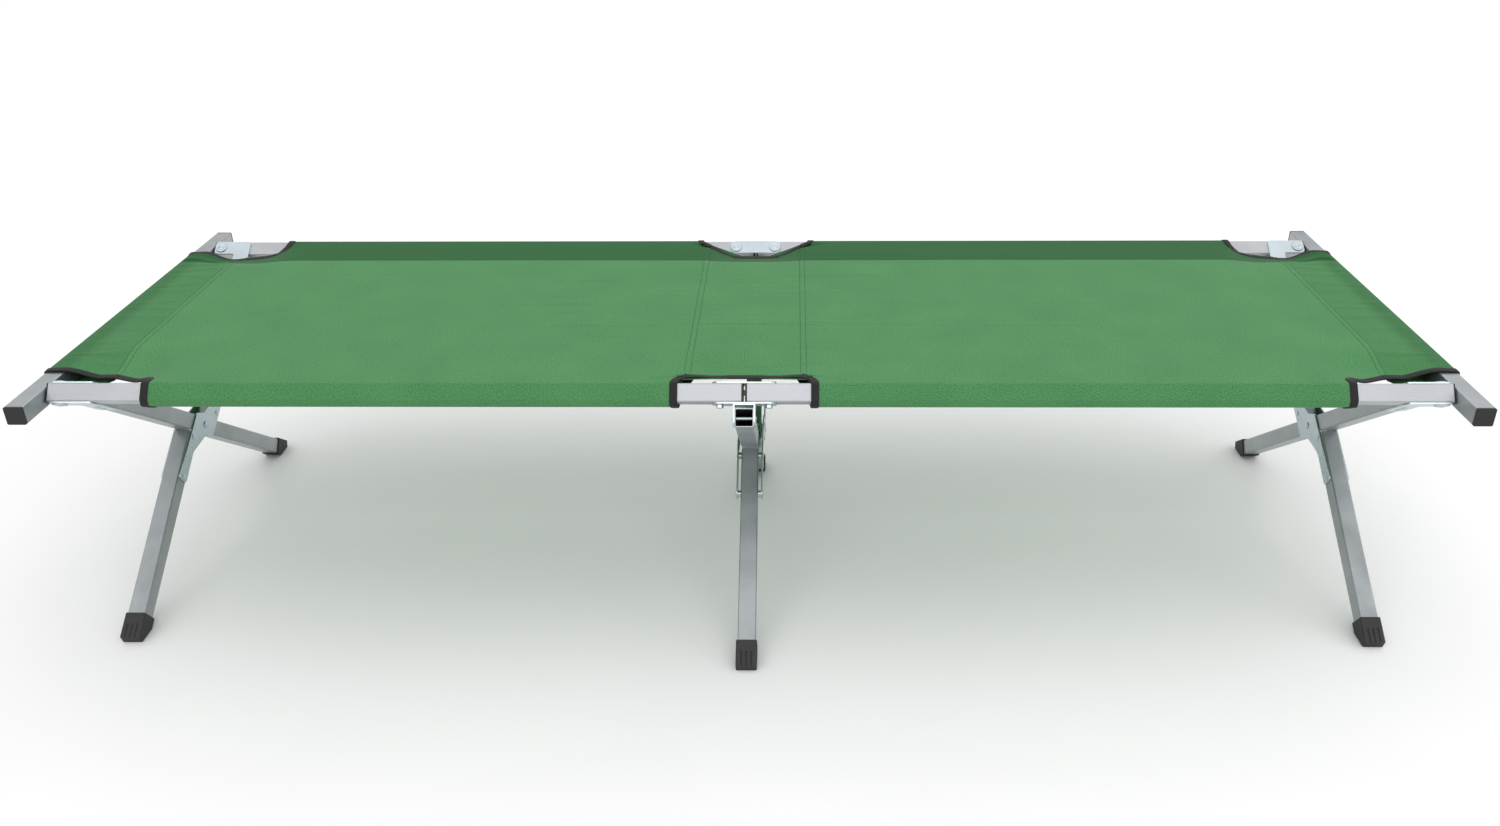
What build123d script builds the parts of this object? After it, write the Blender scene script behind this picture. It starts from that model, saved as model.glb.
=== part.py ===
"""Folding camp cot: two hinged side rails on three scissor leg sets, two end bars and a cloth bed.

Frame: X runs along the bed, Y from its front side to its back, Z up. The origin is on the floor,
at the middle of the cot's bounding box. All sizes are in millimetres.
"""

import os
from math import cos, radians, sin, tan

from build123d import *

os.makedirs("parts", exist_ok=True)

# Overall sizes: rail_spread runs between the rails' axes, rail_height from the floor to them
bed_length = 1900.0
rail_spread = 532.0
rail_height = 367.5
leg_slope = 36.4
bar_overhang = 64.5
leg_inset = 49.0

# Square tube, used for rails, legs and end bars
tube_side = 25.0
tube_wall = 1.2
tube_corner = 2.0

# Gaps between pieces
butt_gap = 0.5
slip_gap = 0.3
bore_gap = 0.05
plug_gap = 0.1
fold_gap = 1.0
yoke_gap = 4.0
head_gap = 0.9
cut_clearance = 2.0

# Sheet-metal plates, rivets and bolts
plate_thickness = 2.0
plate_round = 5.0
rivet_radius = 2.5
rivet_head_radius = 4.2
rivet_head_height = 1.6
pivot_radius = 3.0
pivot_head_radius = 5.5
pivot_head_height = 2.4
dish_radius = 10.0
dish_height = 1.5
hinge_bolt_radius = 3.0
hinge_bolt_spacing = 65.0
hinge_nut_radius = 5.0
bolt_head_radius = 5.0
hinge_nut_height = 4.5
corner_arm = 39.5
corner_rivet_spots = (13.5, 29.5)
boss_edge_gap = 0.5
plate_margin = 1.5
plate_edge_inset = 1.0
cross_plate_reach = 106.0
end_rivet_inset = 6.0
middle_upper_setback = 11.0
spacer_radius = 5.0
lug_half_length = 28.0
yoke_half_length = 13.0

# Plastic plugs, end pins and boots
plug_depth = 15.0
middle_lip = 2.6
middle_gap = 2.4
end_lip = 2.0
bar_lip = 3.0
pin_radius = 4.0
pin_reach = 10.0
boot_wall = 2.1
boot_height = 16.0
boot_sole = 2.5
boot_toe_set = 5.0
boot_toe_rise = 11.5
boot_groove = 1.2
boot_groove_pitch = 7.0

# Cloth: the insets run in from the end bars' inner faces and from the rails' axes
cloth = 1.0
seam_inset = 67.0
bow_inset = 103.0
face_cut_inset = 128.0
middle_cut_x = 88.0
sheet_edge_inset = 4.0
middle_scoop_inset = 26.0
scoop_bow_inset = 30.0
corner_scoop_inset = 40.0

# The cut legs stand one tube and a gap to each side of the line through the pivot, and the middle
# set hangs under the rails by one tube, its yoke and the hinge plate
half = tube_side / 2
bore = tube_side - 2 * tube_wall
stack = tube_side + 2 * plate_thickness
outer_leg_shift = tube_side + fold_gap
middle_drop = stack + yoke_gap
middle_shift = outer_leg_shift + middle_drop
middle_plate_offset = half + plate_thickness + rivet_head_height + head_gap

# Directions and the points that the scissor is built on
slope_sin = sin(radians(leg_slope))
slope_cos = cos(radians(leg_slope))
slope_tan = tan(radians(leg_slope))
rail_out = rail_spread / 2
end_bar_length = rail_spread + 2 * bar_overhang
bar_face = bed_length / 2 - tube_side
outer_leg_x = bar_face - leg_inset
corner_arm_reach = half + corner_arm
corner_rivet_reaches = [half + spot for spot in corner_rivet_spots]
front, rear = -1, 1
long_reach = (rail_spread - outer_leg_shift / slope_sin) / (2 * slope_cos)
cut_reach = long_reach + outer_leg_shift / slope_tan
boot_half = half + boot_wall


def cut_gap(shift, drop):
    """How far from the pivot a cut leg's end clears a long leg that hangs `drop` below it."""
    crossing = radians(2 * leg_slope)
    return (shift + half) / tan(crossing) + (half + drop) / sin(crossing) + cut_clearance


def floor_y(shift):
    """Y, from the bed's middle plane, where a lower leg's axis meets the floor."""
    pivot_y = -rail_out + long_reach * slope_cos
    pivot_z = rail_height - long_reach * slope_sin
    return pivot_y - shift * slope_sin - (pivot_z + shift * slope_cos) / slope_tan


front_reach = boot_half / slope_sin - boot_toe_rise / slope_tan - floor_y(middle_shift)
rear_reach = end_bar_length / 2
middle_y = (front_reach - rear_reach) / 2

along = Vector(1, 0, 0)
pivot = Vector(0, middle_y - rail_out + long_reach * slope_cos, rail_height - long_reach * slope_sin)
cut_up = Vector(0, slope_cos, slope_sin)
cut_side = Vector(0, -slope_sin, slope_cos)
leg_set_x = {"left": -outer_leg_x, "middle": 0.0, "right": outer_leg_x}


def rail_axis(side, x=0.0):
    """Point on a side rail's axis; side is front or rear."""
    return Vector(x, middle_y + side * rail_out, rail_height)


def leg_way(side):
    """Direction down the leg that hangs from this rail."""
    return Vector(0, -side * slope_cos, -slope_sin)


def rail_normal(side):
    """Normal of the rail's upper inner face, square to its legs."""
    return Vector(0, -side * slope_sin, slope_cos)


def on_leg(side, x, reach, rise=0.0):
    """Point `reach` down a leg from its rail's axis and `rise` above the leg's plane."""
    return rail_axis(side, x) + leg_way(side) * reach + rail_normal(side) * rise


def on_cut_leg(x, up, out):
    """Point near the pivot: `up` along the cut leg and `out` square to it, towards its front."""
    return pivot + along * x + cut_up * up + cut_side * out


def square_tube(start, way, side_way, length):
    """Square tube from `start` along `way`, with one pair of sides facing `side_way`."""
    with BuildPart() as tube:
        with BuildSketch(Plane(origin=start, x_dir=side_way, z_dir=way)):
            RectangleRounded(tube_side, tube_side, tube_corner)
            RectangleRounded(bore, bore, tube_corner - tube_wall, mode=Mode.SUBTRACT)
        extrude(amount=length)
    return tube


def drill(points, way, radius, reach=40.0):
    """Round holes through the part being built, on axes along `way`."""
    for point in points:
        with BuildSketch(Plane(origin=point, z_dir=way)) as hole:
            Circle(radius)
        extrude(hole.sketch, amount=reach, both=True, mode=Mode.SUBTRACT)


def rod(start, way, radius, length):
    """Round bar added to the part being built."""
    with BuildSketch(Plane(origin=start, z_dir=way)) as disc:
        Circle(radius)
    extrude(disc.sketch, amount=length)


def round_head(radius, height):
    """Low head standing on the XY plane: a short rim under a cap cut from a ball."""
    rim = height / 4
    rise = height - rim
    ball_radius = (radius**2 + rise**2) / (2 * rise)
    with BuildPart() as head:
        with BuildSketch(Plane.XZ):
            with BuildLine():
                Polyline((0, height), (0, 0), (radius, 0), (radius, rim))
                RadiusArc((radius, rim), (0, height), -ball_radius)
            make_face()
        revolve(axis=Axis.Z)
    return head.part


rivet_head = round_head(rivet_head_radius, rivet_head_height)
bolt_head = round_head(bolt_head_radius, rivet_head_height)
pivot_head = round_head(pivot_head_radius, pivot_head_height)


def rivet(centre, way, grip, radius, head):
    """Shank through `grip` of material with a round head at each end."""
    rod(centre - way * (grip / 2), way, radius, grip)
    for end in (way, way * -1):
        add(head.moved(Plane(origin=centre + end * (grip / 2), z_dir=end).location))


def plug(face, way, side_way, lip):
    """Square plug for a tube end: its lip stands on `face` and its body goes back into the tube."""
    body_side = bore - 2 * plug_gap
    with BuildSketch(Plane(origin=face, x_dir=side_way, z_dir=way)) as cap:
        RectangleRounded(tube_side, tube_side, tube_corner)
    extrude(cap.sketch, amount=lip)
    with BuildSketch(Plane(origin=face, x_dir=side_way, z_dir=way * -1)) as body:
        RectangleRounded(body_side, body_side, tube_corner - tube_wall)
    extrude(body.sketch, amount=plug_depth)


def save(builder, name):
    """Label a finished piece and write it."""
    builder.part.label = name
    export_step(builder.part, f"parts/{name}.step")


# Corner plates, rivets and hinge hardware stand on the rails' upper and lower faces
hinge_half = hinge_bolt_spacing / 2
hinge_plate_length = hinge_bolt_spacing + 2 * (dish_radius + boss_edge_gap)
middle_rail_end = middle_gap / 2 + middle_lip
outer_rail_end = bar_face - butt_gap - end_lip
corner_boss_x = outer_rail_end - dish_radius - boss_edge_gap
side_names = {front: "front", rear: "rear"}

for side, side_name in side_names.items():
    normal = rail_normal(side)
    down = leg_way(side)

    for hand, hand_name in ((-1, "left"), (1, "right")):
        holes_up = [rail_axis(side, hand * corner_boss_x), rail_axis(side, hand * hinge_half)]
        start = rail_axis(side, hand * middle_rail_end)
        rail = square_tube(start, along * hand, down, outer_rail_end - middle_rail_end)
        with rail:
            drill(holes_up, normal, hinge_bolt_radius + bore_gap)
        save(rail, f"{side_name}_{hand_name}_rail")

    with BuildPart() as middle_plugs:
        for hand in (-1, 1):
            plug(rail_axis(side, hand * middle_rail_end), along * -hand, down, middle_lip)
    save(middle_plugs, f"{side_name}_middle_plugs")

    with BuildPart() as end_plugs:
        for hand in (-1, 1):
            plug(rail_axis(side, hand * outer_rail_end), along * hand, down, end_lip)
        boss_hole = [rail_axis(side, hand * corner_boss_x) for hand in (-1, 1)]
        drill(boss_hole, normal, hinge_bolt_radius + bore_gap)
        drill([rail_axis(side)], along, pin_radius, bed_length)
    save(end_plugs, f"{side_name}_end_plugs")

    with BuildPart() as end_pins:
        for hand in (-1, 1):
            inner = corner_boss_x + hinge_bolt_radius + 1.0
            rod(rail_axis(side, hand * inner), along * hand, pin_radius, bar_face + pin_reach - inner)
    save(end_pins, f"{side_name}_end_pins")

    with BuildPart() as corner_plates:
        for hand in (-1, 1):
            for level in (1, -1):
                origin = rail_axis(side, 0) + normal * (level * half)
                plate_plane = Plane(origin=origin, x_dir=along * hand, z_dir=normal * level)
                turn = 1 if plate_plane.y_dir.dot(down) > 0 else -1
                inner_x = outer_leg_x - half
                outer_x = outer_leg_x + half
                with BuildSketch(plate_plane) as outline:
                    with BuildLine():
                        Polyline(
                            (inner_x, -turn * (half - plate_edge_inset)),
                            (outer_rail_end, -turn * (half - plate_edge_inset)),
                            (outer_rail_end, turn * (half - plate_edge_inset)),
                            (outer_x, turn * (half - plate_edge_inset)),
                            (outer_x, turn * corner_arm_reach),
                            (inner_x, turn * corner_arm_reach),
                            close=True,
                        )
                    make_face()
                    fillet(outline.vertices(), radius=plate_round)
                extrude(amount=plate_thickness)
                boss = rail_axis(side, hand * corner_boss_x) + normal * (level * (half + plate_thickness))
                with BuildSketch(Plane(origin=boss, z_dir=normal * level)):
                    Circle(dish_radius)
                extrude(amount=dish_height, taper=30)
            drill([rail_axis(side, hand * corner_boss_x)], normal, hinge_bolt_radius + bore_gap)
            leg_holes = [on_leg(side, hand * outer_leg_x, reach) for reach in corner_rivet_reaches]
            drill(leg_holes, normal, rivet_radius + bore_gap)
    save(corner_plates, f"{side_name}_corner_plates")

    with BuildPart() as corner_rivets:
        for hand in (-1, 1):
            boss = rail_axis(side, hand * corner_boss_x)
            boss_grip = stack + 2 * dish_height
            rivet(boss, normal, boss_grip, hinge_bolt_radius, bolt_head)
            for reach in corner_rivet_reaches:
                seat = on_leg(side, hand * outer_leg_x, reach)
                rivet(seat, normal, stack, rivet_radius, rivet_head)
    save(corner_rivets, f"{side_name}_corner_rivets")

    for level, level_name in ((1, "upper"), (-1, "lower")):
        with BuildPart() as hinge_plate:
            origin = rail_axis(side) + normal * (level * half)
            with BuildSketch(Plane(origin=origin, x_dir=along, z_dir=normal * level)):
                RectangleRounded(hinge_plate_length, tube_side - 2 * plate_edge_inset, 2 * plate_round)
            extrude(amount=plate_thickness)
            if level > 0:
                for hand in (-1, 1):
                    boss = rail_axis(side, hand * hinge_half) + normal * (half + plate_thickness)
                    with BuildSketch(Plane(origin=boss, z_dir=normal)):
                        Circle(dish_radius)
                    extrude(amount=dish_height, taper=30)
            bolt_holes = [rail_axis(side, hand * hinge_half) for hand in (-1, 1)]
            drill(bolt_holes, normal, hinge_bolt_radius + bore_gap)
        save(hinge_plate, f"{side_name}_hinge_{level_name}_plate")

    with BuildPart() as hinge_bolts:
        for hand in (-1, 1):
            top = rail_axis(side, hand * hinge_half) + normal * (half + plate_thickness + dish_height)
            shank = stack + dish_height + hinge_nut_height
            add(bolt_head.moved(Plane(origin=top, z_dir=normal).location))
            rod(top, normal * -1, hinge_bolt_radius, shank)
    save(hinge_bolts, f"{side_name}_hinge_bolts")

    with BuildPart() as hinge_nuts:
        for hand in (-1, 1):
            seat = rail_axis(side, hand * hinge_half) - normal * (half + plate_thickness)
            with BuildSketch(Plane(origin=seat, x_dir=along, z_dir=normal * -1)):
                RegularPolygon(hinge_nut_radius, 6)
                Circle(hinge_bolt_radius, mode=Mode.SUBTRACT)
            extrude(amount=hinge_nut_height)
    save(hinge_nuts, f"{side_name}_hinge_nuts")

    # Yoke: a U welded under the lower hinge plate, whose ears hold the middle leg
    yoke_top = half + plate_thickness
    leg_bottom = middle_drop + half - tube_corner
    with BuildPart() as yoke:
        with BuildSketch(Plane(origin=rail_axis(side) - normal * yoke_top, x_dir=along, z_dir=normal * -1)):
            Rectangle(stack, 2 * yoke_half_length)
        extrude(amount=plate_thickness)
        for hand in (-1, 1):
            ear = rail_axis(side, hand * (half + plate_thickness / 2)) - normal * yoke_top
            with BuildSketch(Plane(origin=ear, x_dir=along, z_dir=normal * -1)):
                Rectangle(plate_thickness, 2 * yoke_half_length)
            extrude(amount=leg_bottom - yoke_top)
        ear_ends = yoke.edges().filter_by(Axis.X).group_by(SortBy.LENGTH)[0]
        fillet(ear_ends, radius=plate_round)
        drill([on_leg(side, 0, 0, -middle_drop)], along, rivet_radius + bore_gap)
    save(yoke, f"{side_name}_leg_yoke")


def boot(way, x, floor_point, toe):
    """Rubber boot on a leg that comes down along `way`; `toe` is the Y sign that the leg leans to."""
    up = way * -1
    out = Vector(0, toe * slope_sin, slope_cos)
    heel = floor_point + Vector(0, -toe * boot_half / slope_sin, 0)
    rim_low = heel + up * boot_height
    rim_high = rim_low + out * (2 * boot_half)
    sole_front = floor_point + Vector(0, toe * boot_toe_set, 0)
    # the toe rises from the sole to the leg's upper face line
    face_y = floor_point.Y + toe * boot_half / slope_sin - toe * boot_toe_rise / slope_tan
    toe_top = Vector(0, face_y, boot_toe_rise)
    corners = [heel, rim_low, rim_high, toe_top, sole_front]
    with BuildSketch(Plane(origin=(x, 0, 0), x_dir=(0, 1, 0), z_dir=(1, 0, 0))) as outline:
        with BuildLine():
            Polyline(*[(point.Y, point.Z) for point in corners], close=True)
        make_face()
    extrude(outline.sketch, amount=boot_half, both=True)
    return rim_high, out


def tube_end(floor_point, x, way):
    """Where a leg tube ends inside its boot, on the leg's axis."""
    lift = (boot_sole + half * slope_cos) / slope_sin
    return Vector(x, floor_point.Y, 0) - way * lift


def finished_boot(name, way, x, floor_point, toe):
    """Boot with the tube's socket and the grooves down its face."""
    end = tube_end(floor_point, x, way)
    with BuildPart() as made:
        rim_high, out = boot(way, x, floor_point, toe)
        upright = made.edges().filter_by(lambda edge: abs(edge.tangent_at(0).X) < 0.01)
        fillet(upright, radius=tube_corner)
        with BuildSketch(Plane(origin=end, x_dir=along, z_dir=way * -1)):
            RectangleRounded(tube_side, tube_side, tube_corner)
        extrude(amount=tube_side * 4, mode=Mode.SUBTRACT)
        for place in (-1, 0, 1):
            groove_top = Vector(x + place * boot_groove_pitch, rim_high.Y, rim_high.Z) + way * boot_height
            with BuildSketch(Plane(origin=groove_top, z_dir=way)):
                Circle(boot_groove)
            extrude(amount=tube_side * 2, mode=Mode.SUBTRACT)
    save(made, name)
    return end


# Long legs: from the front rail, past the pivot, to the rear floor
long_way = leg_way(front)
cut_way = leg_way(rear)
lug_rivet_reaches = (long_reach - 20.0, long_reach + 20.0)
for set_name, x in leg_set_x.items():
    is_middle = set_name == "middle"
    drop = middle_drop if is_middle else 0.0
    head = -yoke_half_length + 3.0 if is_middle else half + butt_gap
    top = on_leg(front, x, head, -drop)
    base_y = on_leg(front, x, 0, -drop)
    floor_point = base_y + long_way * (base_y.Z / slope_sin)
    end = finished_boot(f"{set_name}_rear_boot", long_way, x, floor_point, rear)
    long_leg = square_tube(top, long_way, along, (end - top).length)
    with long_leg:
        if is_middle:
            drill([on_leg(front, x, 0, -drop)], along, rivet_radius + bore_gap)
            lug_points = [on_leg(front, x, reach, -drop) for reach in lug_rivet_reaches]
            drill(lug_points, along, rivet_radius + bore_gap)
        else:
            drill([pivot + along * x], along, pivot_radius + bore_gap)
            drill([on_leg(front, x, reach) for reach in corner_rivet_reaches], rail_normal(front),
                  rivet_radius + bore_gap)
    save(long_leg, f"{set_name}_long_leg")

# Lugs that carry the middle long leg's share of the pivot
with BuildPart() as lugs:
    for hand in (-1, 1):
        lug_plane = Plane(origin=pivot + along * (hand * half), x_dir=long_way, z_dir=along)
        with BuildSketch(lug_plane) as outline:
            with BuildLine():
                Polyline(
                    (-lug_half_length, -middle_drop - 9),
                    (lug_half_length, -middle_drop - 9),
                    (lug_half_length, -middle_drop + 10),
                    (9, 9),
                    (-9, 9),
                    (-lug_half_length, -middle_drop + 10),
                    close=True,
                )
            make_face()
            fillet(outline.vertices(), radius=plate_round)
        extrude(amount=hand * plate_thickness)
    drill([pivot], along, pivot_radius + bore_gap)
    drill([on_leg(front, 0, reach, -middle_drop) for reach in lug_rivet_reaches], along,
          rivet_radius + bore_gap)
save(lugs, "middle_leg_lugs")

with BuildPart() as long_leg_rivets:
    for reach in (0.0, *lug_rivet_reaches):
        seat = on_leg(front, 0, reach, -middle_drop)
        rivet(seat, along, stack, rivet_radius, rivet_head)
save(long_leg_rivets, "middle_long_leg_rivets")

# Cut legs: an upper tube on the rear rail and a lower tube to the front floor, offset to each side
outer_cut = cut_gap(outer_leg_shift, 0)
upper_cut_middle = cut_gap(middle_shift, -middle_drop) + middle_upper_setback
lower_cut_middle = cut_gap(middle_shift, middle_drop)
outer_near = outer_leg_shift - half + plate_margin
outer_far = outer_leg_shift + half - plate_margin
middle_near = middle_shift - half + plate_margin
middle_far = middle_shift + half - plate_margin
end_rivet = cross_plate_reach - end_rivet_inset
outer_rivets = [(end_rivet, -outer_leg_shift), (outer_cut + end_rivet_inset, -outer_leg_shift)]
outer_rivets = outer_rivets + [(-up, -out) for up, out in reversed(outer_rivets)]
outer_outline = [
    (-cross_plate_reach, outer_far), (5, outer_far - 5), (17, 8),
    (outer_cut + 20, 4 - outer_near), (outer_cut + 28, -outer_near), (cross_plate_reach, -outer_near),
]
outer_outline = outer_outline + [(-up, -out) for up, out in outer_outline]
upper_reach = upper_cut_middle + 78
lower_reach = lower_cut_middle + 73
middle_rivets = [
    (upper_reach - end_rivet_inset, -middle_shift),
    (upper_cut_middle + end_rivet_inset, -middle_shift),
    (-lower_cut_middle - end_rivet_inset, middle_shift),
    (-lower_reach + end_rivet_inset, middle_shift),
]
middle_outline = [
    (-lower_reach, middle_far), (14 - lower_cut_middle, middle_far), (10, 16),
    (upper_cut_middle + 12, 10 - middle_near), (upper_cut_middle + 24, -middle_near),
    (upper_reach, -middle_near), (upper_reach, -middle_far), (upper_cut_middle - 8, -middle_far),
    (-14, -12), (8 - lower_cut_middle, middle_near - 4), (-6 - lower_cut_middle, middle_near),
    (-lower_reach, middle_near),
]

for set_name, x in leg_set_x.items():
    is_middle = set_name == "middle"
    drop = middle_drop if is_middle else 0.0
    shift = middle_shift if is_middle else outer_leg_shift
    upper_cut = upper_cut_middle if is_middle else outer_cut
    lower_cut = lower_cut_middle if is_middle else outer_cut
    seats = middle_rivets if is_middle else outer_rivets
    outline_points = middle_outline if is_middle else outer_outline
    plate_in = middle_plate_offset if is_middle else half
    head = -yoke_half_length + 3.0 if is_middle else half + butt_gap
    upper_seats = [on_cut_leg(x, up, out) for up, out in seats[:2]]
    lower_seats = [on_cut_leg(x, up, out) for up, out in seats[2:]]

    upper_leg = square_tube(on_leg(rear, x, head, -drop), cut_way, along, cut_reach - upper_cut - head)
    with upper_leg:
        drill(upper_seats, along, rivet_radius + bore_gap)
        if is_middle:
            drill([on_leg(rear, x, 0, -drop)], along, rivet_radius + bore_gap)
        else:
            drill([on_leg(rear, x, reach) for reach in corner_rivet_reaches], rail_normal(rear),
                  rivet_radius + bore_gap)
    save(upper_leg, f"{set_name}_upper_leg")

    lower_top = on_cut_leg(x, -lower_cut, shift)
    floor_point = lower_top + cut_way * (lower_top.Z / slope_sin)
    end = finished_boot(f"{set_name}_front_boot", cut_way, x, floor_point, front)
    lower_leg = square_tube(lower_top, cut_way, along, (end - lower_top).length)
    with lower_leg:
        drill(lower_seats, along, rivet_radius + bore_gap)
    save(lower_leg, f"{set_name}_lower_leg")

    with BuildPart() as cross_plates:
        for hand in (-1, 1):
            origin = pivot + along * (x + hand * plate_in)
            with BuildSketch(Plane(origin=origin, x_dir=cut_up, z_dir=along)) as outline:
                with BuildLine():
                    Polyline(*outline_points, close=True)
                make_face()
                fillet(outline.vertices(), radius=plate_round)
            extrude(amount=hand * plate_thickness)
        drill([pivot + along * x], along, pivot_radius + bore_gap)
        drill(upper_seats + lower_seats, along, rivet_radius + bore_gap)
    save(cross_plates, f"{set_name}_cross_plates")

    with BuildPart() as cross_rivets:
        for seat in upper_seats + lower_seats:
            grip = 2 * (plate_in + plate_thickness)
            rivet(seat, along, grip, rivet_radius, rivet_head)
        if is_middle:
            rivet(on_leg(rear, 0, 0, -drop), along, stack, rivet_radius, rivet_head)
    save(cross_rivets, f"{set_name}_cross_rivets")

with BuildPart() as spacers:
    for up, out in middle_rivets:
        for hand in (-1, 1):
            with BuildSketch(Plane(origin=on_cut_leg(hand * half, up, out), z_dir=along * hand)):
                Circle(spacer_radius)
                Circle(rivet_radius + bore_gap, mode=Mode.SUBTRACT)
            extrude(amount=middle_plate_offset - half)
save(spacers, "middle_cross_spacers")

with BuildPart() as pivot_bolts:
    for set_name, x in leg_set_x.items():
        plate_in = middle_plate_offset if set_name == "middle" else half
        grip = 2 * (plate_in + plate_thickness)
        rivet(pivot + along * x, along, grip, pivot_radius, pivot_head)
save(pivot_bolts, "pivot_bolts")

# End bars, each on the four rails' pins
for hand, hand_name in ((-1, "left"), (1, "right")):
    bar_x = hand * (bed_length / 2 - half)
    bar_half = end_bar_length / 2 - bar_lip
    start = Vector(bar_x, middle_y - bar_half, rail_height)
    bar = square_tube(start, Vector(0, 1, 0), along, 2 * bar_half)
    with bar:
        pin_holes = [rail_axis(side, hand * bar_face) for side in side_names]
        drill(pin_holes, along, pin_radius + slip_gap, reach=2 * tube_wall)
    save(bar, f"{hand_name}_end_bar")
    with BuildPart() as bar_plugs:
        for side in side_names:
            face = Vector(bar_x, middle_y + side * bar_half, rail_height)
            plug(face, Vector(0, side, 0), along, bar_lip)
    save(bar_plugs, f"{hand_name}_bar_plugs")

# Cloth: a flat sheet between the rails, a sleeve round each half rail and one round each end bar
sleeve_in = half + slip_gap
sleeve_out = sleeve_in + cloth
sleeve_corner = tube_corner + slip_gap
skin_top = rail_height + (half - tube_corner) * (slope_sin + slope_cos) + sleeve_corner + cloth
seam_x = bar_face - seam_inset
face_cut_x = bar_face - face_cut_inset
sheet_y = rail_out - sheet_edge_inset
corner_scoop_y = rail_out - corner_scoop_inset
corner_y = rail_out + (half - tube_corner) * (slope_cos - slope_sin)

for side, side_name in side_names.items():
    with BuildPart() as rail_sleeves:
        for hand in (-1, 1):
            start = rail_axis(side, hand * middle_cut_x)
            length = face_cut_x - middle_cut_x
            with BuildSketch(Plane(origin=start, x_dir=leg_way(side), z_dir=along * hand)):
                RectangleRounded(2 * sleeve_out, 2 * sleeve_out, sleeve_corner + cloth)
            extrude(amount=length)
            tail_middle = Vector(start.X, middle_y + side * (sheet_y + corner_y) / 2, skin_top - cloth / 2)
            with BuildSketch(Plane(origin=tail_middle, x_dir=(0, 1, 0), z_dir=along * hand)):
                Rectangle(corner_y - sheet_y, cloth)
            extrude(amount=length)
            with BuildSketch(Plane(origin=start, x_dir=leg_way(side), z_dir=along * hand)):
                RectangleRounded(2 * sleeve_in, 2 * sleeve_in, sleeve_corner)
            extrude(amount=length, mode=Mode.SUBTRACT)
    save(rail_sleeves, f"{side_name}_rail_sleeves")

with BuildPart() as bed_sheet:
    with BuildSketch(Plane(origin=(0, middle_y, skin_top - cloth))):
        Rectangle(2 * seam_x, 2 * sheet_y)
        for side in side_names:
            with BuildLine():
                ThreePointArc(
                    (-middle_cut_x, side * sheet_y),
                    (0, side * (rail_out - middle_scoop_inset)),
                    (middle_cut_x, side * sheet_y),
                )
                Line((middle_cut_x, side * sheet_y), (-middle_cut_x, side * sheet_y))
            make_face(mode=Mode.SUBTRACT)
            for hand in (-1, 1):
                with BuildLine():
                    ThreePointArc(
                        (hand * seam_x, side * corner_scoop_y),
                        (hand * (bar_face - bow_inset), side * (rail_out - scoop_bow_inset)),
                        (hand * face_cut_x, side * sheet_y),
                    )
                    Polyline(
                        (hand * face_cut_x, side * sheet_y),
                        (hand * seam_x, side * sheet_y),
                        (hand * seam_x, side * corner_scoop_y),
                    )
                make_face(mode=Mode.SUBTRACT)
    extrude(amount=cloth)
save(bed_sheet, "bed_sheet")

for hand, hand_name in ((-1, "left"), (1, "right")):
    bar_centre = bed_length / 2 - half
    bar_top = rail_height + sleeve_out
    bar_low = rail_height - sleeve_out
    loop = [
        (seam_x, skin_top),
        (bar_centre + sleeve_out, bar_top),
        (bar_centre + sleeve_out, bar_low),
        (bar_centre - sleeve_out, bar_low),
        (seam_x, skin_top - 2 * cloth),
    ]
    with BuildPart() as end_sleeve:
        with BuildSketch(Plane(origin=(0, middle_y, 0), x_dir=along, z_dir=(0, -1, 0))):
            with BuildLine():
                Polyline(*[(hand * reach, height) for reach, height in loop], close=True)
            outer = make_face()
            offset(outer, amount=-cloth, kind=Kind.INTERSECTION, mode=Mode.SUBTRACT)
        extrude(amount=corner_scoop_y, both=True)
    save(end_sleeve, f"{hand_name}_end_sleeve")

print("pivot", [round(value, 2) for value in pivot], "middle_y", round(middle_y, 3))
print("skin top", round(skin_top, 2), "front reach", round(front_reach, 2))
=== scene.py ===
"""Looks of the folding camp cot: one sewn green cloth with black binding on a silver tube frame.

Lengths are in metres in the frame of the CAD model. Sizes given in millimetres carry the factor MM.
Cloth places are given as (x, s): x along the bed and s across it, both measured on the flat cloth
from its middle.
"""

from math import cos, pi, radians, sin

import bpy
import numpy as np
from mathutils import Matrix, Vector


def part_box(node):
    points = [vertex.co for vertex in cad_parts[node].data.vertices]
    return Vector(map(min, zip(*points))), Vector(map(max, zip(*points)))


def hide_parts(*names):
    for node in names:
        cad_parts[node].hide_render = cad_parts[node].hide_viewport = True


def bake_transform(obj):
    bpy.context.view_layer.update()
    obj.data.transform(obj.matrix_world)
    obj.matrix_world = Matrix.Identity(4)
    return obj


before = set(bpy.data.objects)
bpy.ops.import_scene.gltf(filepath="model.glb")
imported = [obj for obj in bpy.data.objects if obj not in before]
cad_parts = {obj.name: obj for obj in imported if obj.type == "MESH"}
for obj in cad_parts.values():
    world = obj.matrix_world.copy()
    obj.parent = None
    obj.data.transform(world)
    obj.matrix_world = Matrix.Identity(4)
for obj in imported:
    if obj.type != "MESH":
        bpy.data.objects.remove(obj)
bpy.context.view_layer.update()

MM = 0.001

# ---------------------------------------------------------------------------
# Places read from the frame
# ---------------------------------------------------------------------------
bar_low, bar_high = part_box("right_end_bar")
rail_low, rail_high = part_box("rear_right_rail")
sheet_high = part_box("bed_sheet")[1]
middle_y = (bar_low.y + bar_high.y) / 2
bar_x = (bar_low.x + bar_high.x) / 2
rail_y = (rail_low.y + rail_high.y) / 2 - middle_y
rail_z = (rail_low.z + rail_high.z) / 2
tube_half = (bar_high.z - bar_low.z) / 2
cloth_top = sheet_high.z
end_seam = sheet_high.x

# The side rails are turned about their own length by the legs' slope
leg_slope = radians(36.4)

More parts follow.
